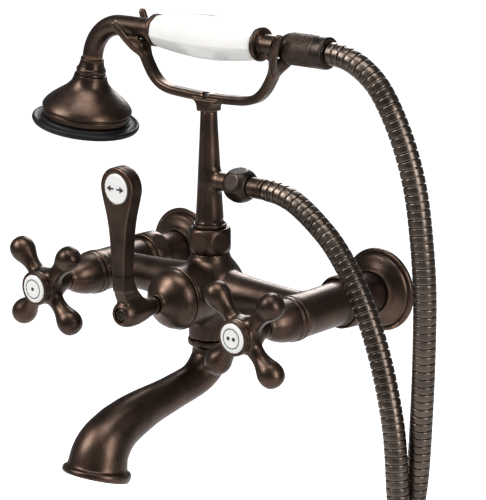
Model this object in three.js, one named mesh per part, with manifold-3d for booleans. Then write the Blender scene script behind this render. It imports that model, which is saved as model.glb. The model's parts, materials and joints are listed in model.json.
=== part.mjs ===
// Wall mounted bath mixer with two cross handles, a lever diverter, a swivel spout and a telephone
// handset on a cradle. Millimetres, +Z up. The origin is on the wall, midway between the two flanges,
// +X runs along the wall towards the cold side, and the faucet stands out from the wall towards -Y.
import * as THREE from "three";
import { mergeVertices } from "three/addons/utils/BufferGeometryUtils.js";
import Module from "manifold-3d";

const wasm = await Module();
wasm.setup();

// Driving dimensions.
const CENTRES = 178; // between the two supply connectors
const SIDES = 16; // facets round a turned piece
const FINE = 12; // facets round a small turned piece
const COARSE = 8; // facets round a hidden piece

const RISER_OUT = 72; // from the wall to the riser, the cross tube and the spout's pivot
const TEE_HEIGHT = 75;
const HANDLE_OUT = 139.3; // from the wall to the middle of the cross handles
const ARM_REACH = 40; // handle centre to the end of an arm
const LEVER_FRONT = 160.8; // from the wall to the lever's front face
const LEVER_BACK = 150.5;
const DISC_HEIGHT = 84; // centre of the lever's top disc
const DISC_RADIUS = 13.8;
const HANDSET_HEIGHT = 170.3;
const CRADLE_HALF = 59.5; // riser to each saddle
const CRADLE_LOW = 130.5; // middle of the cradle's bar
const HEAD_TILT = 10; // degrees, from vertical
const HOSE_OD = 14.8;

const FINISH = {
  bronze: { color: 0x4a3a30, roughness: 0.42, metalness: 0.85 },
  hose: { color: 0x6a5a4e, roughness: 0.3, metalness: 0.9 },
  dark: { color: 0x1d1a19, roughness: 0.55, metalness: 0.2 },
  porcelain: { color: 0xf4f2ec, roughness: 0.15, metalness: 0 },
  brass: { color: 0xb08d4a, roughness: 0.35, metalness: 0.9 },
  steel: { color: 0xb9bcc0, roughness: 0.3, metalness: 0.95 },
  rubber: { color: 0x161616, roughness: 0.85, metalness: 0 },
};

const faucet = new THREE.Group();

function addMesh(parent, name, geometry, finish) {
  const mesh = new THREE.Mesh(geometry, new THREE.MeshStandardMaterial(FINISH[finish]));
  mesh.name = name;
  parent.add(mesh);
  return mesh;
}

// A group whose +Y axis is turned onto the given direction, at the given place.
function frameAt(x, y, z, direction) {
  const group = new THREE.Group();
  group.position.set(x, y, z);
  const turn = {
    out: [Math.PI, 0, 0],
    in: [0, 0, 0],
    up: [Math.PI / 2, 0, 0],
    down: [-Math.PI / 2, 0, 0],
    right: [0, 0, -Math.PI / 2],
    left: [0, 0, Math.PI / 2],
  }[direction];
  group.rotation.set(...turn);
  faucet.add(group);
  return group;
}

// A turned solid about +Y from [radius, height] points; a bored one is a loop that closes on itself.
function turned(profile, sides = SIDES) {
  const onAxis = profile[0][0] === 0 && profile.at(-1)[0] === 0;
  const loop = onAxis ? profile : [...profile, profile[0]];
  const area = profile.reduce((sum, [r, h], i) => {
    const [r2, h2] = profile[(i + 1) % profile.length];
    return sum + r * h2 - r2 * h;
  }, 0);
  const points = (area > 0 ? loop : loop.toReversed()).map(([r, h]) => new THREE.Vector2(r, h));
  return new THREE.LatheGeometry(points, sides);
}

// A bored solid with outside points and inside points, both listed in order of height.
function bored(outside, inside, sides = SIDES) {
  return turned([...outside, ...inside.toReversed()], sides);
}

function tube(rIn, rOut, low, high, sides = SIDES) {
  return turned([[rOut, low], [rOut, high], [rIn, high], [rIn, low]], sides);
}

function rod(radius, low, high, sides = SIDES) {
  return turned([[0, low], [radius, low], [radius, high], [0, high]], sides);
}

function solid(geometry) {
  const bare = geometry.clone();
  bare.deleteAttribute("normal");
  bare.deleteAttribute("uv");
  const merged = mergeVertices(bare, 1e-4);
  return new wasm.Manifold(
    new wasm.Mesh({
      numProp: 3,
      vertProperties: new Float32Array(merged.attributes.position.array),
      triVerts: new Uint32Array(merged.index.array),
    }),
  );
}

function geometryOf(manifold) {
  const mesh = manifold.getMesh();
  return new THREE.BufferGeometry()
    .setAttribute("position", new THREE.BufferAttribute(mesh.vertProperties, 3))
    .setIndex(new THREE.BufferAttribute(mesh.triVerts, 1));
}

function joined(pieces) {
  return pieces.map(solid).reduce((a, b) => a.add(b));
}

function cut(base, pieces) {
  return geometryOf(pieces.map(solid).reduce((a, b) => a.subtract(b), base));
}

// The same geometry turned so that its +Y axis points along a world direction, then moved.
function along(geometry, direction, place = [0, 0, 0]) {
  const turn = new THREE.Quaternion().setFromUnitVectors(
    new THREE.Vector3(0, 1, 0),
    new THREE.Vector3(...direction).normalize(),
  );
  return geometry.clone().applyQuaternion(turn).translate(...place);
}

// A flat outline in X and Z, from one Y to a lower one.
function plate(shape, yBack, yFront, curveSegments = 8) {
  const geometry = new THREE.ExtrudeGeometry(shape, {
    depth: yBack - yFront,
    bevelEnabled: false,
    curveSegments,
  });
  return geometry.rotateX(Math.PI / 2).translate(0, yBack, 0);
}

// Bends a turned solid, whose height is arc length, along a curve that lies in one plane.
function bent(geometry, curve, acrossAxis) {
  const across = new THREE.Vector3(...acrossAxis);
  const length = curve.getLength();
  const position = geometry.attributes.position;
  for (let i = 0; i < position.count; i++) {
    const [x, h, z] = [position.getX(i), position.getY(i), position.getZ(i)];
    const at = THREE.MathUtils.clamp(h / length, 0, 1);
    const tangent = curve.getTangentAt(at);
    const side = new THREE.Vector3().crossVectors(across, tangent);
    const point = curve.getPointAt(at).addScaledVector(tangent, h - at * length);
    point.addScaledVector(across, x).addScaledVector(side, z);
    position.setXYZ(i, point.x, point.y, point.z);
  }
  return geometry;
}

// A tube of constant section along a curve.
function swept(curve, radius, steps, sides) {
  const section = new THREE.Shape(
    Array.from({ length: sides }, (_, i) => {
      const a = (2 * Math.PI * i) / sides;
      return new THREE.Vector2(radius * Math.cos(a), radius * Math.sin(a));
    }),
  );
  return new THREE.ExtrudeGeometry(section, { steps, extrudePath: curve, bevelEnabled: false });
}

// A hexagon nut about +Y whose corners are turned down by a ball, so that its flats look round.
function hexNut(corner, ball, low, high, bores, turn = 0) {
  const hexagon = rod(corner, low, high, 6).rotateY(turn);
  const half = (high - low) / 2;
  const middle = (high + low) / 2;
  const rings = Array.from({ length: 5 }, (_, i) => {
    const h = half * (i / 2 - 1);
    return [Math.sqrt(ball * ball - h * h), middle + h];
  });
  const round = turned([[0, low], ...rings, [0, high]], 18);
  return cut(solid(hexagon).intersect(solid(round)), bores);
}

// Wall flanges, connectors, coupling nuts and washers, one set on each side.
function wallConnection(side, x) {
  const frame = frameAt(x, 0, 0, "out");
  const flange = bored(
    [[28.4, 0], [28.4, 2.2], [27.4, 3.4], [25.8, 3.4], [25.2, 2.8], [24.6, 4.4], [23.2, 5.8],
      [19.5, 7], [16.5, 8.8], [14.8, 11]],
    [[13.8, 0], [13.8, 11]],
    20,
  );
  addMesh(frame, `wall_flange_${side}`, flange, "bronze");
  const connector = bored(
    [[13.5, 0.5], [13.5, 35.8], [16, 35.8], [16, 41]],
    [[9, 0.5], [9, 41]],
  );
  addMesh(frame, `wall_connector_${side}`, connector, "bronze");
  addMesh(frame, `union_washer_${side}`, tube(9.5, 15.6, 41.3, 42.2, FINE), "rubber");
  const bores = [rod(13.8, 30, 36, SIDES), rod(16.3, 35.4, 47, SIDES)];
  addMesh(frame, `coupling_nut_${side}`, hexNut(20.2, 18.7, 31.4, 45.6, bores, 0.3), "bronze");
}

// The cast body: two valve barrels, the cross tube, and a centre boss with a neck above and below.
function faucetBody() {
  const half = CENTRES / 2;
  const barrel = turned([[0, 42.5], [15.9, 42.5], [15.9, 45.9], [14.4, 47.5], [14.4, 88], [14.9, 89],
    [14.9, 91.5], [0, 91.5]]);
  const flare = [[16.5, 0], [15, 20], [13.4, 35], [12.4, 54], [11.8, 70], [11.6, half]];
  const mirrored = flare.slice(1).toReversed().map(([r, x]) => [r, -x]);
  const crossTube = turned([[0, -half], ...mirrored, ...flare, [0, half]]);
  const boss = turned([[0, 50], [12, 50], [18, 55], [20.4, 64], [20.4, 104], [0, 104]], 20);
  const neck = turned([[0, 0], [20.5, 0], [20.3, 10], [17, 17.5], [13.8, 22.5], [13.1, 25.3],
    [11.2, 25.3], [11.2, 30], [0, 30]]);
  const spigot = turned([[0, 0], [17, 0], [15.6, 16], [14.8, 24], [14.8, 33.6], [0, 33.6]]);
  const shape = joined([
    along(barrel, [0, -1, 0], [-half, 0, 0]),
    along(barrel, [0, -1, 0], [half, 0, 0]),
    along(crossTube, [1, 0, 0], [0, -RISER_OUT, 0]),
    along(boss, [0, -1, 0]),
    along(neck, [0, 0, 1], [0, -RISER_OUT, 0]),
    along(spigot, [0, 0, -1], [0, -RISER_OUT, 0]),
  ]);
  const bores = [
    along(rod(5.5, -half, half, COARSE), [1, 0, 0], [0, -RISER_OUT, 0]),
    along(rod(13.7, 74, 105, SIDES), [0, -1, 0]),
    along(rod(6.5, 0, 31, COARSE), [0, 0, 1], [0, -RISER_OUT - 2, 0]),
    along(rod(9.4, 0, 35, FINE), [0, 0, -1], [0, -RISER_OUT, 0]),
  ];
  for (const x of [-half, half]) {
    bores.push(along(rod(8.5, 42, 83, COARSE), [0, -1, 0], [x, 0, 0]));
    bores.push(along(rod(10.5, 82.2, 92, FINE), [0, -1, 0], [x, 0, 0]));
  }
  addMesh(faucet, "faucet_body", cut(shape, bores), "bronze");
}

// One valve: cartridge, spindle and bonnet, and the cross handle with its screw, bezel and index.
function valve(side, x) {
  const frame = frameAt(x, 0, 0, "out");
  const bonnet = bored(
    [[15.2, 91.8], [15.2, 93.3], [14.6, 93.9], [14.9, 94.5], [14.9, 97], [14.2, 97.8], [13.9, 101],
      [13.2, 105], [12.2, 108.7], [10.9, 112.2], [9.3, 115.2], [7.6, 117.6], [6.9, 119.3], [6.9, 120.4]],
    [[13, 91.8], [13, 96], [10.9, 98], [10.9, 108.6], [5.8, 112], [5.8, 120.4]],
  );
  addMesh(frame, `valve_bonnet_${side}`, bonnet, "bronze");
  const cartridge = turned([[0, 82.5], [10.2, 82.5], [10.2, 102], [8.4, 103], [8.4, 108], [4.4, 108],
    [4.4, 92], [0, 92]], FINE);
  addMesh(frame, `ceramic_cartridge_${side}`, cartridge, "brass");
  const spindle = turned([[0, 92.3], [4.1, 92.3], [4.1, 132], [2.3, 132], [2.3, 124], [0, 124]], COARSE);
  addMesh(frame, `valve_spindle_${side}`, spindle, "brass");

  const hub = turned([[0, 121.2], [6.6, 121.2], [7, 124], [8.6, 127.6], [10.6, 131.5], [11.6, 135],
    [11.7, 139], [11.7, 144.5], [10.9, 146], [0, 146]]);
  const arm = turned([[0, 6], [6.4, 6], [5.6, 13], [5.4, 18], [6.3, 22.5], [8.6, 29], [8.3, 34],
    [5.6, 38.4], [0, ARM_REACH]], 9);
  const pieces = [hub];
  for (let i = 0; i < 4; i++) {
    const a = Math.PI / 4 + (i * Math.PI) / 2;
    pieces.push(along(arm, [Math.cos(a), 0, Math.sin(a)], [0, HANDLE_OUT, 0]));
  }
  const bores = [
    rod(4.4, 121, 134, COARSE),
    rod(2.2, 133, 141, COARSE),
    rod(7.6, 140, 147, FINE),
  ];
  addMesh(frame, `cross_handle_${side}`, cut(joined(pieces), bores), "bronze");
  const screw = turned([[0, 125], [1.9, 125], [1.9, 140.3], [4.2, 140.3], [4.2, 142.4], [3, 143.4],
    [0, 143.4]], COARSE);
  addMesh(frame, `handle_screw_${side}`, screw, "steel");
  const bezel = turned([[7.9, 146.3], [11.7, 146.3], [11.7, 148.1], [11.1, 148.6], [11.7, 149.1],
    [11.7, 150.5], [11.2, 151], [9.9, 151], [9.9, 147.6], [7.9, 147.6]]);
  addMesh(frame, `index_bezel_${side}`, bezel, "bronze");
  const button = turned([[0, 147.9], [9.6, 147.9], [9.6, 151.2], [8.9, 151.7], [0, 152]], SIDES);
  addMesh(frame, `index_button_${side}`, button, "porcelain");
}

// The diverter's trim ring, bell bonnet, cartridge and spindle.
function diverterValve() {
  const frame = frameAt(0, 0, 0, "out");
  addMesh(frame, "diverter_trim_ring", tube(17.6, 21.3, 104.3, 107, 20), "bronze");
  const bonnet = bored(
    [[20.4, 107.3], [20.2, 109], [19, 113], [16, 116.8], [11.6, 120.2], [8.4, 122.4], [7, 124],
      [6.7, 126]],
    [[17.4, 107.3], [16.4, 111], [14, 114], [5.4, 119.8], [5.4, 126]],
    20,
  );
  addMesh(frame, "diverter_bonnet", bonnet, "bronze");
  const cartridge = turned([[0, 75], [13.4, 75], [13.4, 108], [9, 108], [9, 113], [4.5, 113],
    [4.5, 96], [0, 96]], FINE);
  addMesh(frame, "diverter_cartridge", cartridge, "brass");
  const spindle = turned([[0, 96.3], [4.1, 96.3], [4.1, 146], [2.3, 146], [2.3, 138], [0, 138]], COARSE);
  addMesh(frame, "diverter_spindle", spindle, "brass");
}

// The outline of the lever's arm from the front: narrow below, widening into the disc on top.
function leverOutline() {
  const outline = new THREE.Shape();
  const start = Math.asin(13.3 / DISC_RADIUS);
  const edge = [[4.6, 8], [4.8, 24], [5.9, 40], [7.4, 56], [8.9, 64], [10.6, 70], [12.6, 76]];
  outline.moveTo(...edge[0]);
  for (const [half, z] of edge.slice(1)) outline.lineTo(half, z);
  outline.absarc(0, DISC_HEIGHT, DISC_RADIUS, start - Math.PI / 2, 1.5 * Math.PI - start, false);
  for (const [half, z] of edge.toReversed()) outline.lineTo(-half, z);
  return outline;
}

// The lever with its hub, the foot that carries its arm forward, its screw and its index disc.
function diverterLever() {
  const hub = turned([[0, 127.5], [5.4, 127.5], [5.4, 130.5], [6.8, 134.5], [8.6, 141.5], [9.4, 148.5],
    [9.2, 153.5], [8, 157.5], [6.2, 159.8], [0, 159.8]], FINE);
  const back = turned([[0, 147.5], [8, 147.5], [11.8, 149], [DISC_RADIUS, 151.2], [DISC_RADIUS, 154],
    [0, 154]], SIDES);
  const foot = new THREE.Shape([
    [-LEVER_FRONT, 25], [-LEVER_FRONT, 14.4], [-157.5, 5.6], [-150, 0.6], [-134, -0.4], [-134, 4],
    [-140, 8.5],
    [-146.5, 15], [-LEVER_BACK, 25],
  ].map(([y, z]) => new THREE.Vector2(y, z)));
  const footSolid = new THREE.ExtrudeGeometry(foot, { depth: 9, bevelEnabled: false })
    .translate(0, 0, -4.5)
    .applyMatrix4(new THREE.Matrix4().makeBasis(
      new THREE.Vector3(0, 1, 0),
      new THREE.Vector3(0, 0, 1),
      new THREE.Vector3(1, 0, 0),
    ));
  const shape = joined([
    along(hub, [0, -1, 0]),
    along(back, [0, -1, 0], [0, 0, DISC_HEIGHT]),
    plate(leverOutline(), -LEVER_BACK, -LEVER_FRONT),
    footSolid,
  ]);
  const bores = [
    along(rod(4.4, 127, 147, COARSE), [0, -1, 0]),
    along(rod(2.2, 146, 155.8, COARSE), [0, -1, 0]),
    along(rod(4.8, 154.8, 162, FINE), [0, -1, 0]),
    along(rod(10.2, 158.8, 162, SIDES), [0, -1, 0], [0, 0, DISC_HEIGHT]),
  ];
  addMesh(faucet, "diverter_lever", cut(shape, bores), "bronze");
  const slot = new THREE.BoxGeometry(5.6, 0.9, 1.6).translate(0, 159.2, 0);
  const screw = turned([[0, 139], [1.9, 139], [1.9, 155.1], [4.4, 155.1], [4.4, 158.4], [3.4, 159.4],
    [0, 159.4]], FINE);
  const frame = frameAt(0, 0, 0, "out");
  const cross = [slot, slot.clone().rotateY(Math.PI / 2)];
  addMesh(frame, "lever_screw", cut(solid(screw), cross), "bronze");
  const disc = turned([[0, 159.1], [9.9, 159.1], [9.9, 160.9], [9.4, 161.3], [0, 161.5]], SIDES);
  addMesh(frameAt(0, 0, DISC_HEIGHT, "out"), "lever_index_disc", disc, "porcelain");
}

// The spout: a hollow tube that leaves the body downwards, runs forward and turns down, with a bead.
function spout() {
  const path = new THREE.CatmullRomCurve3([
    [-72, -24], [-72, -40], [-74.2, -50], [-85, -59], [-110, -64.3], [-142, -69.2], [-165.5, -76.2],
    [-178.9, -87], [-184.4, -103.6],
  ].map(([y, z]) => new THREE.Vector3(0, y, z)), false, "centripetal");
  const end = path.getLength();
  const body = bored(
    [[8.6, 0], [8.6, 10.2], [15.5, 10.2], [15.7, 12.5], [15.4, 15.6], [13.2, 16.6], [12.4, 18], [12.5, 24],
      [12.6, 30], [12.2, 37], [11.5, 45], [11.5, 58], [11.9, 72], [12.7, 88], [14, 102],
      [16, end - 34], [17.8, end - 24], [18.9, end - 15], [19.5, end - 8], [20, end - 6.6],
      [22.3, end - 5.4], [22.8, end - 3], [22, end - 0.8], [20.6, end]],
    [[6.5, 0], [6.5, 30], [7.5, 60], [8.2, 88], [9.5, end - 34], [13.5, end - 22], [16.3, end - 12],
      [17.2, end]],
    16,
  );
  addMesh(faucet, "spout", bent(body, path, [1, 0, 0]), "bronze");
  const aeratorRun = [[0, end - 11.6], [15.9, end - 11.6], [16.6, end - 4.5], [13.5, end - 4.5],
    [13.5, end - 9], [0, end - 9]];
  addMesh(faucet, "spout_aerator", bent(turned(aeratorRun, 16), path, [1, 0, 0]), "dark");
}

// The hexagon riser nut, the slip ring on it, the washer and the tapered riser with its side outlet.
function riser() {
  const frame = frameAt(0, -RISER_OUT, 0, "up");
  const bores = [rod(11.6, 25, 38, SIDES), rod(9.9, 37, 43, SIDES)];
  addMesh(frame, "riser_nut", hexNut(16.3, 15.65, 25.6, 42.6, bores, 0.733), "bronze");
  const slipRing = tube(9.9, 11.4, 42.9, 45.2, SIDES);
  addMesh(frame, "riser_slip_ring", slipRing, "bronze");
  addMesh(frame, "riser_washer", tube(7.5, 11.1, 30.3, 31, FINE), "rubber");
  const column = turned([[0, 31.3], [11.2, 31.3], [11.2, 37.6], [9.6, 37.6], [9.6, 47], [9.3, 48.2],
    [7.3, 84], [5.6, 118], [5.6, 121], [0, 121]]);
  const outlet = turned([[0, 0], [6, 0], [6, 19.5], [5.2, 20], [5.2, 24], [0, 24]], FINE);
  const bores2 = [
    rod(5, 31, 60, COARSE),
    rod(3.8, 59, 79, COARSE),
    along(rod(3.6, 0, 25, COARSE), [1, 0, 0], [0, TEE_HEIGHT, 0]),
    rod(2.1, 108, 122, COARSE),
  ];
  const shape = joined([column, along(outlet, [1, 0, 0], [0, TEE_HEIGHT, 0])]);
  addMesh(frame, "riser_tube", cut(shape, bores2), "bronze");
}

// The open collar at one end of the cradle that the handset's pipe lies in, about the handset's axis.
function saddle(side) {
  const section = new THREE.Shape();
  section.absarc(0, 0, 11, (-5 * Math.PI) / 6, -Math.PI / 6, false);
  section.absarc(0, 0, 7.7, -Math.PI / 6, (-5 * Math.PI) / 6, true);
  const basis = new THREE.Matrix4().makeBasis(
    new THREE.Vector3(0, 1, 0),
    new THREE.Vector3(0, 0, 1),
    new THREE.Vector3(1, 0, 0),
  );
  return new THREE.ExtrudeGeometry(section, { depth: 5.8, bevelEnabled: false, curveSegments: 6 })
    .applyMatrix4(basis)
    .translate(side * CRADLE_HALF - 2.9, 0, HANDSET_HEIGHT);
}

// One horn of the fork at an end of the cradle, with a rounded tip. Horns across from each other match.
function horn(side, face) {
  const tip = side * face > 0 ? [72, 14.2, 173.5] : [72.5, 14, 178.5];
  const line = [[57.6, 0, 154.5], [60.2, 5, 156.8], [64, 9.8, 163], [68.5, 13.2, 169.8], tip];
  const points = line.map(([x, y, z]) => new THREE.Vector3(side * x, face * y, z));
  const ball = new THREE.SphereGeometry(2.7, 8, 5).translate(...points.at(-1).toArray());
  return [swept(new THREE.CatmullRomCurve3(points), 2.6, 7, 7), ball];
}

// The cradle: a flat bar on a square boss, turned up at both ends into saddles and two-horned forks.
function cradle() {
  const barHalf = 2.9;
  const outline = (grow) => [
    [0, CRADLE_LOW - grow], [30, CRADLE_LOW - grow], [41 + 0.5 * grow, 132.4 - grow],
    [48 + 0.9 * grow, 137.6 - 0.6 * grow], [53.5 + grow, 145.4 - 0.3 * grow], [57.6 + grow, 153.5],
    [CRADLE_HALF + grow, 160.5],
  ];
  const right = outline(barHalf);
  const inner = outline(-barHalf).toReversed();
  const loop = [...right, ...inner, ...inner.toReversed().slice(1).map(([x, z]) => [-x, z]),
    ...right.toReversed().slice(0, -1).map(([x, z]) => [-x, z])];
  const bar = plate(new THREE.Shape(loop.map(([x, z]) => new THREE.Vector2(x, z))), 4.5, -4.5);
  const boss = plate(new THREE.Shape([[-6, 121.3], [6, 121.3], [6.5, 126], [11, 129.5], [-11, 129.5],
    [-6.5, 126]].map(([x, z]) => new THREE.Vector2(x, z))), 6, -6);
  const pieces = [bar, boss];
  for (const side of [-1, 1]) {
    pieces.push(saddle(side), ...horn(side, -1), ...horn(side, 1));
  }
  const bores = [
    along(rod(2.2, 120, 134, COARSE), [0, 0, 1]),
    along(rod(4.4, 130.4, 136, FINE), [0, 0, 1]),
  ];
  const mesh = addMesh(faucet, "cradle", cut(joined(pieces), bores), "bronze");
  mesh.position.y = -RISER_OUT;
  const screw = turned([[0, 110], [1.8, 110], [1.8, 130.7], [4.1, 130.7], [4.1, 132], [2.6, 132.8],
    [0, 133]], COARSE);
  addMesh(frameAt(0, -RISER_OUT, 0, "up"), "cradle_screw", screw, "bronze");
}

// The hose's lower end: a hexagon swivel nut on the side outlet, its washer and the crimped ferrule.
function lowerHoseEnd() {
  const frame = frameAt(0, -RISER_OUT, TEE_HEIGHT, "right");
  const bores = [rod(6.3, 17, 28.5, FINE), rod(5.2, 28, 38, FINE)];
  addMesh(frame, "hose_nut_lower", hexNut(12, 12.5, 18.4, 36.8, bores, 0.2), "bronze");
  addMesh(frame, "hose_washer_lower", tube(2.6, 5.9, 24.3, 25.6, COARSE), "rubber");
  const ferrule = bored(
    [[5.9, 25.9], [5.9, 27.9], [4.9, 28], [4.9, 37.2], [6.9, 37.2], [6.9, 50]],
    [[2.6, 25.9], [2.6, 50]],
    FINE,
  );
  addMesh(frame, "hose_ferrule_lower", ferrule, "bronze");
}

// The hose: out of the side outlet, down in a free hanging loop and up to the handset's tail.
function hose() {
  const route = [
    [50.8, -72, TEE_HEIGHT], [60.9, -72, 74.1], [72.5, -72, 70.8], [84, -72.2, 64.8], [95.5, -72.5, 57],
    [107, -73, 47.6], [126, -74, 24.2], [145.5, -76, -13.2], [161, -79, -60.5], [167, -80.5, -109],
    [173, -81, -156], [186, -80.5, -205], [203, -78, -256], [215, -75, -305], [218.5, -73, -354],
    [210.5, -72.3, -383.8], [188.8, -71.6, -405.5], [159, -71, -413.5], [129.2, -70, -405.5],
    [107.5, -68.3, -383.8], [99.5, -66.6, -354], [103.3, -64.7, -299], [119, -63.5, -245],
    [139, -63, -198], [156, -63, -154], [168, -64, -109], [174.3, -67, -50], [178, -70.5, 0],
    [178.3, -71.5, 30], [175.6, -72, 62], [170.5, -72, 92], [162.3, -72, 117], [151, -72, 139.4],
    [141, -72, 153.3], [131.7, -72, 161.2], [120.9, -72, 167], [111.3, -72, 169.6],
    [103, -72, HANDSET_HEIGHT],
  ];
  const path = new THREE.CatmullRomCurve3(route.map((p) => new THREE.Vector3(...p)), false, "centripetal");
  addMesh(faucet, "hose", swept(path, HOSE_OD / 2, 48, 8), "hose");
}

// The handset: elbow, porcelain grip between two collars on an inner tube, tail, nut and shower head.
function handset() {
  const frame = frameAt(0, -RISER_OUT, HANDSET_HEIGHT, "right");
  const tilt = THREE.MathUtils.degToRad(HEAD_TILT);
  const bend = 28;
  const start = -79.5;
  const turn = Math.PI / 2 - tilt;
  const centre = [start, HANDSET_HEIGHT - bend];
  const points = [new THREE.Vector3(-47.8, 0, HANDSET_HEIGHT)];
  for (let i = 0; i <= 8; i++) {
    const a = (turn * i) / 8;
    points.push(new THREE.Vector3(centre[0] - bend * Math.sin(a), 0, centre[1] + bend * Math.cos(a)));
  }
  const last = points.at(-1);
  const down = new THREE.Vector3(-Math.sin(tilt), 0, -Math.cos(tilt));
  points.push(last.clone().addScaledVector(down, 1.6));
  const elbowPath = new THREE.CatmullRomCurve3(points, false, "centripetal");
  const run = elbowPath.getLength();
  const pipe = bored(
    [[7, 0], ...Array.from({ length: 9 }, (_, i) => [7, 4 + (i * (run - 4)) / 8])],
    [[5.4, 0], ...Array.from({ length: 5 }, (_, i) => [5.4, 4 + (i * (run - 4)) / 4])],
    FINE,
  );
  const elbow = addMesh(faucet, "handset_elbow", bent(pipe, elbowPath, [0, 1, 0]), "bronze");
  elbow.position.y = -RISER_OUT;

  addMesh(frame, "grip_tube", tube(3.2, 5, -47.5, 60, COARSE), "brass");
  addMesh(frame, "grip_collar_front", tube(5.3, 11, -47.5, -44.8, SIDES), "bronze");
  const grip = bored(
    [[10.2, -44.5], [11.6, -38], [13.4, -26], [14.9, -10], [15.3, 0], [15, 12], [13.6, 27], [11.7, 39],
      [10.3, 44]],
    [[5.7, -44.5], [5.7, 44]],
    8,
  );
  addMesh(frame, "porcelain_grip", grip.rotateY(0.21), "porcelain");
  const collar = bored(
    [[11, 44.3], [11.2, 46], [10.4, 47.6], [7.2, 48], [6.9, 50], [6.9, 59.4]],
    [[5.3, 44.3], [5.3, 59.4]],
    SIDES,
  );
  addMesh(frame, "grip_collar_rear", collar, "bronze");
  const tail = bored(
    [[6.2, 60.3], [6.2, 70], [8.6, 70], [8.6, 79]],
    [[3.2, 60.3], [3.2, 79]],
    FINE,
  );
  addMesh(frame, "handset_tail", tail, "bronze");
  addMesh(frame, "hose_washer_upper", tube(3, 8.6, 79.3, 80.6, COARSE), "rubber");
  const nut = turned([[6.6, 66.2], [8.4, 66.2], [9.6, 69], [10.6, 73.4], [10.6, 100.4], [9.8, 102],
    [7.9, 102], [7.9, 87], [9, 86], [9, 69.7], [6.6, 69.7]]);
  addMesh(frame, "hose_nut_upper", nut, "bronze");
  const insert = bored(
    [[8.6, 80.9], [8.6, 86], [7.4, 87], [7.4, 101.6]],
    [[3, 80.9], [3, 101.6]],
    FINE,
  );
  addMesh(frame, "hose_ferrule_upper", insert, "bronze");
  return { end: elbowPath.getPoint(1), down };
}

// The shower head on the elbow's end: collar nut, bell, face plate with jets, and the rubber rim.
function showerHead({ end, down }) {
  const frame = new THREE.Group();
  frame.position.set(end.x, -RISER_OUT, end.z);
  frame.quaternion.setFromUnitVectors(new THREE.Vector3(0, 1, 0), down);
  faucet.add(frame);
  const collar = bored(
    [[7.7, 0.3], [7.9, 2], [9.6, 4.4], [10.2, 6.2], [11.6, 7.6], [12, 9.4], [11.6, 11], [11.2, 12]],
    [[5.6, 0.3], [5.6, 12]],
  );
  addMesh(frame, "head_collar", collar, "bronze");
  const bell = bored(
    [[11.9, 12.3], [12.2, 14.6], [13.1, 18], [15.3, 21.2], [19, 24.4], [23.2, 27.5], [27, 30.6],
      [29.8, 33.6], [31.2, 36], [31.3, 37], [30.6, 37.6], [29.6, 37.9], [29.6, 38.4], [30.3, 38.8],
      [30.4, 42.6], [29.8, 43.4]],
    [[5.6, 12.3], [9, 18], [14, 25.5], [22, 31.5], [26, 36], [27, 43.4]],
    20,
  );
  addMesh(frame, "shower_bell", bell, "bronze");
  const rim = bored(
    [[30.6, 43.8], [31.2, 45.4], [34.4, 45.2], [36, 44.4], [37.3, 45.2], [37.6, 46.8], [36.4, 48.8],
      [33, 49.4]],
    [[24.8, 43.8], [26.4, 46], [26.4, 49.4]],
    20,
  );
  addMesh(frame, "spray_rim", rim, "rubber");
  const plateDisc = turned([[0, 46.3], [24.4, 46.3], [26.1, 46.6], [26.1, 48.4], [14, 49.2], [0, 49.6]], 20);
  const jets = [];
  for (const [count, radius] of [[6, 8], [12, 18]]) {
    for (let i = 0; i < count; i++) {
      const a = (2 * Math.PI * i) / count;
      jets.push(rod(1.1, 45, 51, 4).translate(radius * Math.cos(a), 0, radius * Math.sin(a)));
    }
  }
  addMesh(frame, "spray_face", cut(solid(plateDisc), jets), "dark");
}

for (const [side, x] of [["hot", -CENTRES / 2], ["cold", CENTRES / 2]]) {
  wallConnection(side, x);
  valve(side, x);
}
faucetBody();
diverterValve();
diverterLever();
spout();
riser();
cradle();
lowerHoseEnd();
hose();
showerHead(handset());

export default faucet;
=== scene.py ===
"""The looks of a wall mounted bath faucet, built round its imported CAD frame.

Outlines are in millimetres in the frame's axes: +X along the wall, -Y out of it, +Z up.
"""

import itertools
import json
import math

import bpy
import numpy as np
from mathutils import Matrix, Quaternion, Vector

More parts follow.
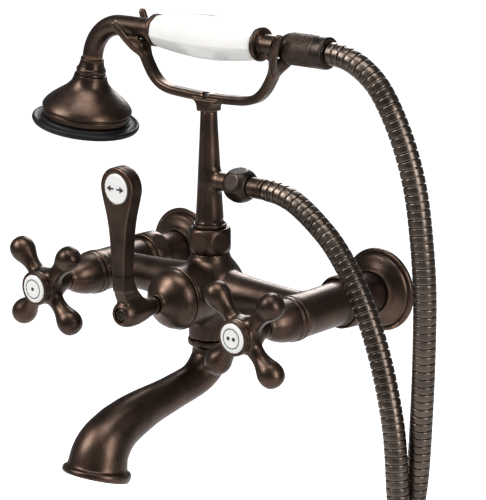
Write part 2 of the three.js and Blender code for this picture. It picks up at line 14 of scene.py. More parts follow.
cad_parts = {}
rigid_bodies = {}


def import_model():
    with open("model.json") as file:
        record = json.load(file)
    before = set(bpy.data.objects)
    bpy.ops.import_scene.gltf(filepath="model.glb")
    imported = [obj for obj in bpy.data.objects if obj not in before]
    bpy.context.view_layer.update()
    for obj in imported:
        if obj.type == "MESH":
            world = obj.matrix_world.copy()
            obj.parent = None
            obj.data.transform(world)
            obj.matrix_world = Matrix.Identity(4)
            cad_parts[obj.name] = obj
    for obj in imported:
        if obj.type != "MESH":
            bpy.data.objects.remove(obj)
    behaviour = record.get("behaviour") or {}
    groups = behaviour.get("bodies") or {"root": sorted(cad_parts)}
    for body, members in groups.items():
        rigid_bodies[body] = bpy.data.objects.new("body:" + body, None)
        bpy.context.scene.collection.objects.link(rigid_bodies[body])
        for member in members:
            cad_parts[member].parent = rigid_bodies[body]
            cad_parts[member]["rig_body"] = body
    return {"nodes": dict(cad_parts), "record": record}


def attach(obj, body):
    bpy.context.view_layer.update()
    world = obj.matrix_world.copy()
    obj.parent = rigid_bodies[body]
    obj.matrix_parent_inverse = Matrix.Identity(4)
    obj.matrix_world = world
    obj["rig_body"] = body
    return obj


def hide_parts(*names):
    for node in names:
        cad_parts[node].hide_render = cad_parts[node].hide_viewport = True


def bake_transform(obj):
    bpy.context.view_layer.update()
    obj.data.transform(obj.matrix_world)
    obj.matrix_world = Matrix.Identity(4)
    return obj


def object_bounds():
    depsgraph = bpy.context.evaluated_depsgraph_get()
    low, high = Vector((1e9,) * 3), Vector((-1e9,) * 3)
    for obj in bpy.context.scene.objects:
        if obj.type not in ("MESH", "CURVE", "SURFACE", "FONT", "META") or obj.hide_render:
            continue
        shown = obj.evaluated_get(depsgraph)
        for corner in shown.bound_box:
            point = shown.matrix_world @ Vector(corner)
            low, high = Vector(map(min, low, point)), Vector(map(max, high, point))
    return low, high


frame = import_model()
cad_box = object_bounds()

MM = 0.001
CENTRES = 178.0  # between the two supplies
RISER_OUT = 72.0  # from the wall to the riser and the spout's pivot
HANDLE_OUT = 139.3  # from the wall to the middle of the cross handles
TEE_HEIGHT = 75.0
DISC_HEIGHT = 84.0  # middle of the lever's top disc
DISC_RADIUS = 13.8
HANDSET_HEIGHT = 170.3
CRADLE_HALF = 59.5
HEAD_TILT = math.radians(10)
HOSE_DIAMETER = 14.8
SKY = 0.15  # the dim grey that the metal reflects between the soft boxes
HOSE_PITCH = 5.1  # one rib of the metal hose
OUT = (0, -1, 0)
UP = (0, 0, 1)
DOWN = (0, 0, -1)
RIGHT = (1, 0, 0)
SIDES = ("hot", -CENTRES / 2), ("cold", CENTRES / 2)

node_slot = {s["node"]: s["material_slot"] for s in frame["record"]["subparts"]}


# Camera, floor and lights.


def make_camera():
    """Stands to the right of the faucet and a little above it, with a long lens."""
    azimuth, elevation, roll = math.radians(41.21), math.radians(14.62), math.radians(-0.27)
    distance, target = 1.433, Vector((0.0452, -0.090, 0.0375))
    back = Vector((
        math.sin(azimuth) * math.cos(elevation),
        -math.cos(azimuth) * math.cos(elevation),
        math.sin(elevation),
    ))
    data = bpy.data.cameras.new("camera")
    data.sensor_width = 36
    data.lens = 158.6
    camera = bpy.data.objects.new("camera", data)
    camera.location = target + back * distance
    camera.rotation_mode = "QUATERNION"
    camera.rotation_quaternion = (-back).to_track_quat("-Z", "Y") @ Quaternion((0, 0, 1), roll)
    bpy.context.scene.collection.objects.link(camera)
    bpy.context.scene.camera = camera


def area_light(name, place, aim, width, height, power, colour=(1, 1, 1)):
    data = bpy.data.lights.new(name, "AREA")
    data.shape = "RECTANGLE"
    data.size, data.size_y = width, height
    data.energy = power
    data.color = colour
    lamp = bpy.data.objects.new(name, data)
    lamp.location = place
    lamp.rotation_euler = (Vector(aim) - Vector(place)).to_track_quat("-Z", "Y").to_euler()
    bpy.context.scene.collection.objects.link(lamp)


def bright_to_camera(tree, socket, seen, cast):
    """A strength that the camera sees as one value while the object is lit by another."""
    path = tree.nodes.new("ShaderNodeLightPath")
    choice = tree.nodes.new("ShaderNodeMix")
    choice.inputs[2].default_value = cast
    choice.inputs[3].default_value = seen
    tree.links.new(path.outputs["Is Camera Ray"], choice.inputs[0])
    tree.links.new(choice.outputs[0], socket)


def make_studio():
    """A pale floor under the hanging loop of hose, a soft sky and four soft boxes."""
    floor_height = cad_box[0].z - 0.06
    mesh = bpy.data.meshes.new("floor")
    half = 14.0
    corners = [(-half, -half), (half, -half), (half, half), (-half, half)]
    mesh.from_pydata([(x, y, floor_height) for x, y in corners], [], [(0, 1, 2, 3)])
    floor = bpy.data.objects.new("floor", mesh)
    bpy.context.scene.collection.objects.link(floor)
    material = bpy.data.materials.new("floor_white")
    material.use_nodes = True
    shader = material.node_tree.nodes["Principled BSDF"]
    shader.inputs["Base Color"].default_value = (0.8, 0.8, 0.8, 1)
    shader.inputs["Roughness"].default_value = 0.9
    shader.inputs["Emission Color"].default_value = (1, 1, 1, 1)
    bright_to_camera(material.node_tree, shader.inputs["Emission Strength"], 1.0, 0.15)
    mesh.materials.append(material)

    world = bpy.data.worlds.new("studio")
    bpy.context.scene.world = world
    world.use_nodes = True
    background = world.node_tree.nodes["Background"]
    background.inputs["Color"].default_value = (1, 1, 1, 1)
    bright_to_camera(world.node_tree, background.inputs["Strength"], 1.0, SKY)
    centre = (0.03, -0.08, 0.03)
    area_light("key", (-0.75, -1.25, 1.15), centre, 0.55, 0.9, 25)
    area_light("right_fill", (1.55, -0.25, 0.55), centre, 0.5, 1.2, 16)
    area_light("top", (0.2, -0.35, 1.6), centre, 1.0, 0.6, 13)
    area_light("back_rim", (-0.6, 0.9, 0.7), centre, 0.4, 0.9, 9)
    bpy.context.scene.view_settings.view_transform = "Standard"


make_camera()
make_studio()


# Curves and outlines.


class Path:
    """A centripetal Catmull-Rom curve through points, read by distance along it."""

    def __init__(self, points, per_span=40):
        given = np.array(points, float)
        ends = [2 * given[0] - given[1]], [2 * given[-1] - given[-2]]
        p = np.concatenate([ends[0], given, ends[1]])
        samples = []
        for a, b, c, d in zip(p, p[1:], p[2:], p[3:]):
            knots = np.cumsum([0] + [math.sqrt(np.linalg.norm(v)) for v in (b - a, c - b, d - c)])
            samples.append(self.span((a, b, c, d), knots, np.arange(per_span) / per_span))
        table = np.concatenate(samples + [given[-1:]])
        self.at = np.concatenate([[0], np.cumsum(np.linalg.norm(np.diff(table, axis=0), axis=1))])
        self.length = self.at[-1]
        self.table = table
        slope = np.gradient(table, self.at, axis=0)
        self.slope = slope / np.linalg.norm(slope, axis=1, keepdims=True)

    @staticmethod
    def span(points, knots, share):
        a, b, c, d = points
        t0, t1, t2, t3 = knots
        t = (t1 + (t2 - t1) * share)[:, None]
        ab = (t1 - t) / (t1 - t0) * a + (t - t0) / (t1 - t0) * b
        bc = (t2 - t) / (t2 - t1) * b + (t - t1) / (t2 - t1) * c
        cd = (t3 - t) / (t3 - t2) * c + (t - t2) / (t3 - t2) * d
        abc = (t2 - t) / (t2 - t0) * ab + (t - t0) / (t2 - t0) * bc
        bcd = (t3 - t) / (t3 - t1) * bc + (t - t1) / (t3 - t1) * cd
        return (t2 - t) / (t2 - t1) * abc + (t - t1) / (t2 - t1) * bcd

    def point(self, distance):
        """Points at distances along the path; past its end they run straight on."""
        held = np.clip(distance, 0, self.length)
        found = np.stack([np.interp(held, self.at, self.table[:, i]) for i in range(3)], -1)
        return found + self.tangent(held) * (distance - held)[..., None]

    def tangent(self, distance):
        found = np.stack([np.interp(distance, self.at, self.slope[:, i]) for i in range(3)], -1)
        return found / np.linalg.norm(found, axis=-1, keepdims=True)


def softened(outline, radius=0.35, closed=False, steps=4, smooth_below=38):
    """Rounds an outline's corners: sharp ones by radius, and gentle ones into one flowing curve."""
    points = [np.array(p, float) for p in outline]
    count = len(points)
    made = [] if closed else [points[0]]
    for i in range(0 if closed else 1, count if closed else count - 1):
        before, here, after = points[i - 1], points[i], points[(i + 1) % count]
        into, onward = before - here, after - here
        a, b = np.linalg.norm(into), np.linalg.norm(onward)
        bend = math.degrees(math.acos(np.clip(-(into @ onward) / (a * b), -1, 1)))
        reach = 0.49 * min(a, b)
        if bend > smooth_below:
            reach = min(radius, reach)
        start, end = here + into / a * reach, here + onward / b * reach
        for k in range(steps + 1):
            t = k / steps
            made.append((1 - t) ** 2 * start + 2 * t * (1 - t) * here + t * t * end)
    if not closed:
        made.append(points[-1])
    return [tuple(p) for p in made]


def bored(outside, inside, radius=0.35):
    """A closed outline from an outside and an inside, both listed in order of height."""
    return softened([*outside, *reversed(inside)], radius, closed=True)


def ring(inner, outer, low, high, radius=0.35):
    return softened([(outer, low), (outer, high), (inner, high), (inner, low)], radius, closed=True)


# Meshes from outlines.


def axis_place(origin, direction, spin=0.0):
    """Places (radius, angle, height) round a straight axis."""
    along = np.array(direction, float) / np.linalg.norm(direction)
    guide = np.array((0.0, 0.0, 1.0)) if abs(along[2]) < 0.9 else np.array((0.0, -1.0, 0.0))
    side = np.cross(guide, along)
    side /= np.linalg.norm(side)
    front = np.cross(along, side)
    start = np.array(origin, float)

    def place(radius, angle, height):
        cos, sin = np.cos(angle + spin), np.sin(angle + spin)
        return (start + height[..., None] * along
                + (radius * cos)[..., None] * side + (radius * sin)[..., None] * front)

    return place


def bent_place(path, across):
    """Places (radius, angle, height) round a curve in one plane, where height is distance along it."""
    flat = np.array(across, float)

    def place(radius, angle, height):
        side = np.cross(path.tangent(height), flat)
        return (path.point(height) + (radius * np.cos(angle))[..., None] * flat
                + (radius * np.sin(angle))[..., None] * side)

    return place


def revolve(profile, place, sides=96, shape=None):
    """Vertices and faces of a turned solid. Shape may change the radius by angle and height."""
    outline = np.array(profile, float)
    on_axis = outline[0, 0] == 0 and outline[-1, 0] == 0
    rings = outline[1:-1] if on_axis else outline
    angle = np.tile(2 * np.pi * np.arange(sides) / sides, (len(rings), 1))
    radius = np.repeat(rings[:, :1], sides, 1)
    height = np.repeat(rings[:, 1:], sides, 1)
    if shape:
        radius = shape(radius, angle, height)
    points = place(radius, angle, height).reshape(-1, 3)
    index = np.arange(len(points)).reshape(len(rings), sides)
    if not on_axis:
        index = np.concatenate([index, index[:1]])
    low, high = index[:-1], index[1:]
    faces = np.stack([low, np.roll(low, -1, 1), np.roll(high, -1, 1), high], -1).reshape(-1, 4).tolist()
    if on_axis:
        zero = np.zeros((1, 1))
        poles = [place(zero, zero, np.array([[h]])).reshape(1, 3) for h in (outline[0, 1],
                                                                            outline[-1, 1])]
        first, last = len(points), len(points) + 1
        points = np.concatenate([points, *poles])
        rim = index[0].tolist()
        faces += [[first, b, a] for a, b in zip(rim, rim[1:] + rim[:1])]
        rim = index[-1].tolist()
        faces += [[last, a, b] for a, b in zip(rim, rim[1:] + rim[:1])]
    return points, faces


def polygon_distance(u, v, loop):
    """Signed distance to a closed outline, negative inside."""
    best = np.full(u.shape, 1e9)
    inside = np.zeros(u.shape, bool)
    for (ax, ay), (bx, by) in zip(loop, loop[1:] + loop[:1]):
        ex, ey = bx - ax, by - ay
        wx, wy = u - ax, v - ay
        t = np.clip((wx * ex + wy * ey) / (ex * ex + ey * ey + 1e-12), 0, 1)
        best = np.minimum(best, (wx - ex * t) ** 2 + (wy - ey * t) ** 2)
        if abs(ey) > 1e-9:
            inside ^= ((ay > v) != (by > v)) & (u < ax + (v - ay) * ex / ey)
    return np.where(inside, -1, 1) * np.sqrt(best)


def turned_field(profile, origin=(0, 0, 0), direction=OUT):
    """Distance to a solid turned about an axis; the profile runs from low to high, off the axis."""
    along = np.array(direction, float) / np.linalg.norm(direction)
    loop = [(-9.0, profile[0][1]), *profile, (-9.0, profile[-1][1])]

    def field(p):
        q = p - np.array(origin, float)
        height = q @ along
        radius = np.linalg.norm(q - height[:, None] * along, axis=1)
        return polygon_distance(radius, height, loop)

    return field


def rod_field(radius, low, high, origin=(0, 0, 0), direction=OUT):
    return turned_field([(radius, low), (radius, high)], origin, direction)


def bar_field(points, radii):
    """Distance to a round bar along a line of points, with a radius at each."""
    line = np.array(points, float)

    def field(p):
        best = np.full(len(p), 1e9)
        for a, b, ra, rb in zip(line, line[1:], radii, radii[1:]):
            t = np.clip((p - a) @ (b - a) / ((b - a) @ (b - a)), 0, 1)
            best = np.minimum(best, np.linalg.norm(p - a - t[:, None] * (b - a),
                                                   axis=1) - (ra + (rb - ra) * t))
        return best

    return field


def rounded_corner(first, second, radius):
    """Distance to where two distances meet, with the edge between them rounded."""
    a, b = first + radius, second + radius
    return np.hypot(np.maximum(a, 0), np.maximum(b, 0)) + np.minimum(np.maximum(a, b), 0) - radius


def plus(a, b, fillet=0.0):
    """The join of two distances, with a fillet where they meet."""
    if not fillet:
        return np.minimum(a, b)
    h = np.maximum(fillet - np.abs(a - b), 0) / fillet
    return np.minimum(a, b) - h * h * fillet / 4


def minus(a, b, fillet=0.0):
    return -plus(-a, b, fillet)


def surface(field, low, high, step):
    """Mesh of a distance field's zero level: one vertex in each cell it crosses, moved onto it."""
    block = 4
    count = [int(math.ceil((h - l) / step / block)) * block + block for l, h in zip(low, high)]
    origin = np.array([(l + h - n * step) / 2 for l, h, n in zip(low, high, count)])
    grid = np.stack(np.meshgrid(*[np.arange(n + 1) for n in count], indexing="ij"), -1)
    coarse_grid = grid[::block, ::block, ::block]
    coarse = field(origin + coarse_grid.reshape(-1, 3) * step).reshape(coarse_grid.shape[:3])
    near = np.abs(coarse) < block * step * 1.3
    cells = np.zeros([n - 1 for n in near.shape], bool)
    for i, j, k in itertools.product((0, 1), repeat=3):
        cells |= near[i:i + cells.shape[0], j:j + cells.shape[1], k:k + cells.shape[2]]
    wanted = np.zeros([n + 1 for n in count], bool)
    fine = cells.repeat(block, 0).repeat(block, 1).repeat(block, 2)
    for i, j, k in itertools.product((0, 1), repeat=3):
        wanted[i:i + fine.shape[0], j:j + fine.shape[1], k:k + fine.shape[2]] |= fine
    value = np.ones(wanted.shape)
    spread = np.where(coarse < 0, -1.0, 1.0).repeat(block, 0).repeat(block, 1).repeat(block, 2)
    value[...] = spread[:wanted.shape[0], :wanted.shape[1], :wanted.shape[2]]
    value[wanted] = field(origin + grid[wanted] * step)

    inside = value < 0
    shape = [n - 1 for n in value.shape]
    corners = list(itertools.product((0, 1), repeat=3))

    def corner(array, c):
        return array[c[0]:c[0] + shape[0], c[1]:c[1] + shape[1], c[2]:c[2] + shape[2]]

    total = sum(corner(inside, c).astype(np.int8) for c in corners)
    active = (total > 0) & (total < 8) & (fine if fine.shape == total.shape else True)
    number = np.full(shape, -1)
    number[active] = np.arange(active.sum())
    place = np.argwhere(active).astype(float)
    mean = np.zeros_like(place)
    hits = np.zeros(len(place))
    for a, b in itertools.combinations(corners, 2):
        if sum(abs(x - y) for x, y in zip(a, b)) != 1:
            continue
        va, vb = corner(value, a)[active], corner(value, b)[active]
        crossed = (va < 0) != (vb < 0)
        t = np.where(crossed, va / np.where(crossed, va - vb, 1), 0)[:, None]
        mean += np.where(crossed[:, None], np.array(a) + (np.array(b) - np.array(a)) * t, 0)
        hits += crossed
    points = origin + (place + mean / hits[:, None]) * step
    quads = []
    for axis in range(3):
        u, v = (axis + 1) % 3, (axis + 2) % 3
        first = [slice(None)] * 3
        second = [slice(None)] * 3
        first[axis], second[axis] = slice(None, -1), slice(1, None)
        changed = np.argwhere(inside[tuple(first)] != inside[tuple(second)])
        outward = inside[tuple(first)][tuple(changed.T)]
        around = []
        for du, dv in ((1, 1), (0, 1), (0, 0), (1, 0)):
            cell = changed.copy()
            cell[:, u] -= du
            cell[:, v] -= dv
            around.append(number[tuple(cell.T)])
        quad = np.stack(around, 1)
        quad[~outward] = quad[~outward][:, ::-1]
        quads.append(quad)
    faces = np.concatenate(quads)
    return settle(points, faces, field, step), faces.tolist()


def settle(points, faces, field, step):
    """Evens out a mesh's vertices and moves them onto the zero level of the field."""
    ends = np.concatenate([faces[:, [0, 1]], faces[:, [1, 2]], faces[:, [2, 3]], faces[:, [3, 0]]])
    ends = np.concatenate([ends, ends[:, ::-1]])
    degree = np.bincount(ends[:, 0], minlength=len(points))[:, None]
    for turn in range(4):
        if turn < 2:
            total = np.stack([np.bincount(ends[:, 0], points[ends[:, 1], i],
                                          len(points)) for i in range(3)], 1)
            points = 0.4 * points + 0.6 * total / degree
        probe = 0.25 * step
        gradient = np.stack([
            field(points + probe * e) - field(points - probe * e) for e in np.eye(3)
        ], 1) / (2 * probe)
        size = np.maximum((gradient ** 2).sum(1), 0.25)
        move = (field(points) / size)[:, None] * gradient
        points = points - np.clip(move, -step, step)
    return points


def add_piece(name, shape, finish, body, slot, sharp=32):
    """Makes a Blender mesh from vertices in millimetres, facing outwards and riding on a body."""
    points, faces = shape
    mesh = bpy.data.meshes.new(name)
    mesh.from_pydata((points * MM).tolist(), [], faces)
    mesh.shade_smooth()
    mesh.set_sharp_from_angle(angle=math.radians(sharp))
    if signed_volume(mesh) < 0:
        mesh.flip_normals()
    mesh.materials.append(finish)
    made = bpy.data.objects.new(name, mesh)
    bpy.context.scene.collection.objects.link(made)
    if body:
        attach(made, body)
    return made


def signed_volume(mesh):
    mesh.calc_loop_triangles()
    corners = np.zeros(len(mesh.loop_triangles) * 3, np.int32)
    mesh.loop_triangles.foreach_get("vertices", corners)
    place = np.zeros(len(mesh.vertices) * 3)
    mesh.vertices.foreach_get("co", place)
    a, b, c = place.reshape(-1, 3)[corners.reshape(-1, 3)].transpose(1, 0, 2)
    return float((a * np.cross(b, c)).sum())


def stand_for(node, shape, finish, sharp=32):
    """A finer piece in place of a CAD node, on the same body."""
    made = add_piece(node + "_fine", shape, finish, frame["nodes"][node]["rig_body"], node_slot[node],
                     sharp)
    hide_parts(node)
    return made


# Materials.


def shader_of(name, **settings):
    material = bpy.data.materials.new(name)
    material.use_nodes = True
    shader = material.node_tree.nodes["Principled BSDF"]
    for key, value in settings.items():
        shader.inputs[key.replace("_", " ")].default_value = value
    return material, material.node_tree, shader


def link(tree, output, target):
    tree.links.new(output, target)


def noise(tree, scale, detail=3.0, roughness=0.5, stretch=(1, 1, 1)):
    """Noise in the object's own space, where scale counts features per metre."""
    nodes = tree.nodes
    place = nodes.new("ShaderNodeTexCoord")
    mapping = nodes.new("ShaderNodeMapping")
    mapping.inputs["Scale"].default_value = stretch
    texture = nodes.new("ShaderNodeTexNoise")
    texture.inputs["Scale"].default_value = scale
    texture.inputs["Detail"].default_value = detail
    texture.inputs["Roughness"].default_value = roughness
    link(tree, place.outputs["Object"], mapping.inputs["Vector"])
    link(tree, mapping.outputs["Vector"], texture.inputs["Vector"])
    return texture.outputs["Fac"]


def ramp(tree, value, *stops):
    """A colour or a number from a value; each stop is (position, colour or number)."""
    node = tree.nodes.new("ShaderNodeValToRGB")
    elements = node.color_ramp.elements
    while len(elements) < len(stops):
        elements.new(0.5)
    for element, (position, colour) in zip(elements, stops):
        element.position = position
        element.color = (*colour, 1) if isinstance(colour, tuple) else (colour, colour, colour, 1)
    link(tree, value, node.inputs["Fac"])
    return node.outputs["Color"]


def mixed(tree, share, first, second):
    node = tree.nodes.new("ShaderNodeMix")
    node.data_type = "RGBA"
    link(tree, share, node.inputs["Factor"])
    for value, socket in ((first, node.inputs[6]), (second, node.inputs[7])):
        if isinstance(value, tuple):
            socket.default_value = (*value, 1)
        else:
            link(tree, value, socket)
    return node.outputs[2]


def bump(tree, shader, height, strength, distance):
    node = tree.nodes.new("ShaderNodeBump")
    node.inputs["Strength"].default_value = strength
    node.inputs["Distance"].default_value = distance
    link(tree, height, node.inputs["Height"])
    link(tree, node.outputs["Normal"], shader.inputs["Normal"])


def worn_edges(tree, low, high):
    """How sharply the surface turns outwards, from 0 on a flat to 1 on an edge."""
    geometry = tree.nodes.new("ShaderNodeNewGeometry")
    return ramp(tree, geometry.outputs["Pointiness"], (low, 0.0), (high, 1.0))


def make_bronze(name="rubbed_bronze", dark=(0.040, 0.027, 0.021), warm=(0.098, 0.061, 0.044),
                edge=(0.26, 0.145, 0.09), gloss=(0.31, 0.42)):
    """Oil rubbed bronze: a dark brown patina, patchy and finely speckled, rubbed through to copper."""
    material, tree, shader = shader_of(name, Metallic=1.0, Coat_Weight=0.08, Coat_Roughness=0.35)
    patches = ramp(tree, noise(tree, 55, 3), (0.35, 0.0), (0.68, 1.0))
    specks = ramp(tree, noise(tree, 900, 4, 0.6), (0.42, 0.0), (0.70, 0.35))
    colour = mixed(tree, patches, dark, warm)
    colour = mixed(tree, specks, colour, tuple(1.35 * c for c in warm))
    colour = mixed(tree, worn_edges(tree, 0.525, 0.60), colour, edge)
    link(tree, colour, shader.inputs["Base Color"])
    link(tree, ramp(tree, noise(tree, 160, 5, 0.6), (0.3, gloss[0]), (0.7, gloss[1])),
         shader.inputs["Roughness"])
    bump(tree, shader, noise(tree, 700, 3, 0.55), 0.10, 0.0004)
    return material


def make_porcelain():
    """White glaze with the faintest mottling and waviness under a clear coat."""
    material, tree, shader = shader_of(
        "white_glaze", Coat_Weight=0.6, Coat_Roughness=0.04, Subsurface_Weight=0.08,
        Subsurface_Scale=0.004,
    )
    colour = ramp(tree, noise(tree, 45, 2), (0.3, (0.790, 0.782, 0.756)), (0.7, (0.840, 0.834, 0.812)))
    link(tree, colour, shader.inputs["Base Color"])
    link(tree, ramp(tree, noise(tree, 120, 3), (0.3, 0.10), (0.7, 0.17)), shader.inputs["Roughness"])
    bump(tree, shader, noise(tree, 60, 2), 0.06, 0.0006)
    return material


def make_plain(name, low, high, gloss, metallic=0.0, specular=0.5, scale=350, grain=0.12):
    """A material whose colour and gloss vary a little, for rubber, plastic, brass and steel."""
    material, tree, shader = shader_of(name, Metallic=metallic, Specular_IOR_Level=specular)
    link(tree, ramp(tree, noise(tree, scale / 4, 3), (0.3, low), (0.7, high)),
         shader.inputs["Base Color"])
    link(tree, ramp(tree, noise(tree, scale, 4), (0.3, gloss[0]), (0.7, gloss[1])),
         shader.inputs["Roughness"])
    bump(tree, shader, noise(tree, 3 * scale, 3), grain, 0.0003)
    return material


BRONZE = make_bronze()
HOSE_METAL = make_bronze("hose_bronze", (0.070, 0.054, 0.044), (0.125, 0.098, 0.080),
                         (0.34, 0.27, 0.22), (0.26, 0.38))
DARK_BRONZE = make_bronze("nut_bronze", (0.030, 0.024, 0.021), (0.058, 0.042, 0.034),
                          (0.18, 0.11, 0.075), (0.33, 0.45))
PORCELAIN = make_porcelain()
RUBBER = make_plain("black_rubber", (0.006, 0.006, 0.007), (0.012, 0.011, 0.011), (0.42, 0.6), 0.0, 0.2)
DARK_PLASTIC = make_plain("dark_plastic", (0.012, 0.012, 0.013), (0.022, 0.021, 0.022), (0.35, 0.5),
                          0.0, 0.25)
BRASS = make_plain("turned_brass", (0.48, 0.33, 0.12), (0.62, 0.45, 0.19), (0.25, 0.4), 1.0)
STEEL = make_plain("screw_steel", (0.46, 0.47, 0.49), (0.58, 0.59, 0.61), (0.2, 0.35), 1.0)
INK = make_plain("mark_ink", (0.020, 0.018, 0.017), (0.040, 0.036, 0.034), (0.3, 0.45))

SLOT_FINISH = {
    "oil_rubbed_bronze": BRONZE,
    "bronze_hose": HOSE_METAL,
    "white_porcelain": PORCELAIN,
    "black_rubber": RUBBER,
    "dark_plastic": DARK_PLASTIC,
    "plain_brass": BRASS,
    "stainless_screw": STEEL,
}


# The hose, first among the pieces, because it has a real length.

HOSE_ROUTE = [
    (50.8, -72, TEE_HEIGHT), (60.9, -72, 74.1), (72.5, -72, 70.8), (84, -72.2, 64.8), (95.5, -72.5, 57),
    (107, -73, 47.6), (126, -74, 24.2), (145.5, -76, -13.2), (161, -79, -60.5), (167, -80.5, -109),
    (173, -81, -156), (186, -80.5, -205), (203, -78, -256), (215, -75, -305), (218.5, -73, -354),
    (210.5, -72.3, -383.8), (188.8, -71.6, -405.5), (159, -71, -413.5), (129.2, -70, -405.5),
    (107.5, -68.3, -383.8), (99.5, -66.6, -354), (103.3, -64.7, -299), (119, -63.5, -245),
    (139, -63, -198), (156, -63, -154), (168, -64, -109), (174.3, -67, -50), (178, -70.5, 0),
    (178.3, -71.5, 30), (175.6, -72, 62), (170.5, -72, 92), (162.3, -72, 117), (151, -72, 139.4),
    (141, -72, 153.3), (131.7, -72, 161.2), (120.9, -72, 167), (111.3, -72, 169.6),
    (103, -72, HANDSET_HEIGHT),
]


def hose():
    """A double-lock metal hose: flat bands with rounded shoulders and a dark groove between them."""
    path = Path(HOSE_ROUTE)
    ribs = int(path.length / HOSE_PITCH)
    pitch = path.length / ribs
    outer, inner = HOSE_DIAMETER / 2, HOSE_DIAMETER / 2 - 0.95
    band = [(0.00, inner), (0.04, inner), (0.08, outer - 0.2), (0.12, outer - 0.04), (0.18, outer),
            (0.5, outer), (0.82, outer), (0.88, outer - 0.04), (0.92, outer - 0.2), (0.96, inner)]
    heights = np.array([(i + share) * pitch for i in range(ribs) for share, _ in band])
    radii = np.tile([r for _, r in band], ribs)
    sides = 30
    angle = 2 * np.pi * np.arange(sides) / sides
    across = np.array((0.0, 1.0, 0.0))
    tangent = path.tangent(heights)
    flat = across - (tangent @ across)[:, None] * tangent
    flat /= np.linalg.norm(flat, axis=1, keepdims=True)
    side = np.cross(tangent, flat)
    rings = (path.point(heights)[:, None]
             + radii[:, None, None] * (np.cos(angle)[None, :, None] * flat[:, None]
                                       + np.sin(angle)[None, :, None] * side[:, None]))
    points = rings.reshape(-1, 3)
    index = np.arange(len(points)).reshape(len(rings), sides)
    low, high = index[:-1], index[1:]
    faces = np.stack([low, np.roll(low, -1, 1), np.roll(high, -1, 1), high], -1).reshape(-1, 4).tolist()
    faces.append(index[0][::-1].tolist())
    faces.append(index[-1].tolist())
    made = add_piece("hose_fine", (points, faces), HOSE_METAL, None, "bronze_hose", sharp=50)
    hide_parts("hose")
    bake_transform(made)
    centreline = path.point(np.linspace(0, path.length, 400)) * MM
    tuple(centreline[0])


hose()


# Wall connections: flange, connector and coupling nut on each side.


def hexagon(corner, turn):
    return [(corner * math.cos(turn + i * math.pi / 3), corner * math.sin(turn + i * math.pi / 3))
            for i in range(6)]


def hex_nut(corner, ball, low, high, bores, origin, direction, turn, step=0.5):
    """A hexagon nut with its corners turned down, so that each flat is bounded by a curve."""
    along = np.array(direction, float)
    guide = np.array((0.0, 0.0, 1.0)) if abs(along[2]) < 0.9 else np.array((1.0, 0.0, 0.0))
    first = np.cross(guide, along) / np.linalg.norm(np.cross(guide, along))
    second = np.cross(along, first)
    half, middle = (high - low) / 2, (high + low) / 2
    start = np.array(origin, float)
    outline = hexagon(corner, turn)

    def field(p):
        q = p - start
        height = q @ along
        u, v = q @ first, q @ second
        body = rounded_corner(polygon_distance(u, v, outline), np.abs(height - middle) - half, 0.5)
        sphere = np.sqrt(u * u + v * v + (height - middle) ** 2) - ball
        body = -plus(-body, -sphere, 0.5)
        radius = np.hypot(u, v)
        for bore, bore_low, bore_high in bores:
            inside = np.maximum(
                radius - bore,
                np.abs(height - (bore_low + bore_high) / 2) - (bore_high - bore_low) / 2)
            body = minus(body, inside, 0.3)
        return body

    reach = corner + 1
    corners = [start + along * h + first * a * reach + second * b * reach
               for h in (low - 1, high + 1) for a in (-1, 1) for b in (-1, 1)]
    return surface(field, np.min(corners, 0), np.max(corners, 0), step)


def wall_connection(side, x):
    place = axis_place((x, 0, 0), OUT)
    flange = bored(
        [(28.3, 0), (28.4, 2.0), (27.6, 3.2), (26.0, 3.6), (25.3, 3.0), (24.8, 4.2), (23.4, 5.7),
         (19.6, 7.0), (16.8, 8.6), (14.9, 10.9)],
        [(13.8, 0), (13.8, 10.9)],
    )
    stand_for(f"wall_flange_{side}", revolve(flange, place, 128), BRONZE)
    connector = bored([(13.5, 0.5), (13.5, 35.8), (16, 35.8), (16, 41)], [(9, 0.5), (9, 41)])
    stand_for(f"wall_connector_{side}", revolve(connector, place, 96), BRONZE)
    bores = [(13.8, 29, 35.9), (16.3, 35.4, 50)]
    nut = hex_nut(20.2, 18.7, 31.4, 45.6, bores, (x, 0, 0), OUT, 0.3)
    stand_for(f"coupling_nut_{side}", nut, BRONZE)


for side, x in SIDES:
    wall_connection(side, x)


# The cast body.


